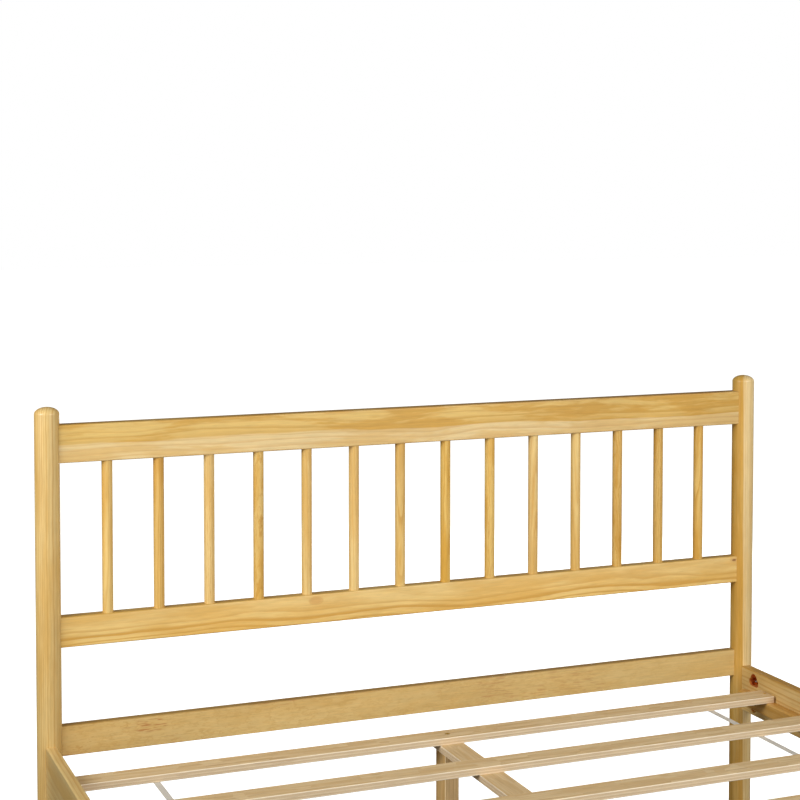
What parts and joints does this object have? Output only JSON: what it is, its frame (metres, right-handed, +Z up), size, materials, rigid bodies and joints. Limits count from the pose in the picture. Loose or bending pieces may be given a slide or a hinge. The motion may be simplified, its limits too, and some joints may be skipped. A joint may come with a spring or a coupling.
{
  "type": "spindle bed",
  "caption": "Solid pine bed frame with round posts, a headboard of turned spindles between two rails, bolted side rails and a slatted base.",
  "frame": {"origin": "on the floor, in the middle of the bed's plan", "axes": "+Z up, +Y towards the head end, +X to the right when looking at the headboard from the foot end"},
  "size_m": [1.674, 2.1099, 1.04],
  "materials": {
    "pine": "satin lacquer",
    "veneer_lumber": "bare, planed",
    "beech_dowel": "bare",
    "zinc_steel": "bright zinc",
    "yellow_zinc_screw": "yellow passivated",
    "webbing": "woven polypropylene tape",
    "plastic_glide": "moulded, matt"
  },
  "bodies": {
    "root": {"centre_beam": "veneer_lumber", "centre_leg_foot": "veneer_lumber", "centre_leg_head": "veneer_lumber", "centre_leg_middle": "veneer_lumber", "centre_leg_screws": "yellow_zinc_screw", "foot_post_left": "pine", "foot_post_right": "pine", "foot_rail": "pine", "half_moon_washers": "zinc_steel", "headboard_bottom_rail": "pine", "headboard_middle_rail": "pine", "headboard_post_left": "pine", "headboard_post_right": "pine", "headboard_top_rail": "pine", "ledger_left": "pine", "ledger_right": "pine", "ledger_screws": "yellow_zinc_screw", "leg_glides": "plastic_glide", "post_glides": "plastic_glide", "post_inserts": "zinc_steel", "rail_dowels": "beech_dowel", "rail_nuts": "zinc_steel", "rail_studs": "zinc_steel", "side_rail_left": "pine", "side_rail_right": "pine", "slat_01": "veneer_lumber", "slat_02": "veneer_lumber", "slat_03": "veneer_lumber", "slat_04": "veneer_lumber", "slat_05": "veneer_lumber", "slat_06": "veneer_lumber", "slat_07": "veneer_lumber", "slat_08": "veneer_lumber", "slat_09": "veneer_lumber", "slat_10": "veneer_lumber", "slat_screws": "yellow_zinc_screw", "slat_tape_left": "webbing", "slat_tape_right": "webbing", "spindle_01": "pine", "spindle_02": "pine", "spindle_03": "pine", "spindle_04": "pine", "spindle_05": "pine", "spindle_06": "pine", "spindle_07": "pine", "spindle_08": "pine", "spindle_09": "pine", "spindle_10": "pine", "spindle_11": "pine", "spindle_12": "pine", "spindle_13": "pine", "spindle_14": "pine", "tape_staples": "zinc_steel"}
  },
  "joints": []
}
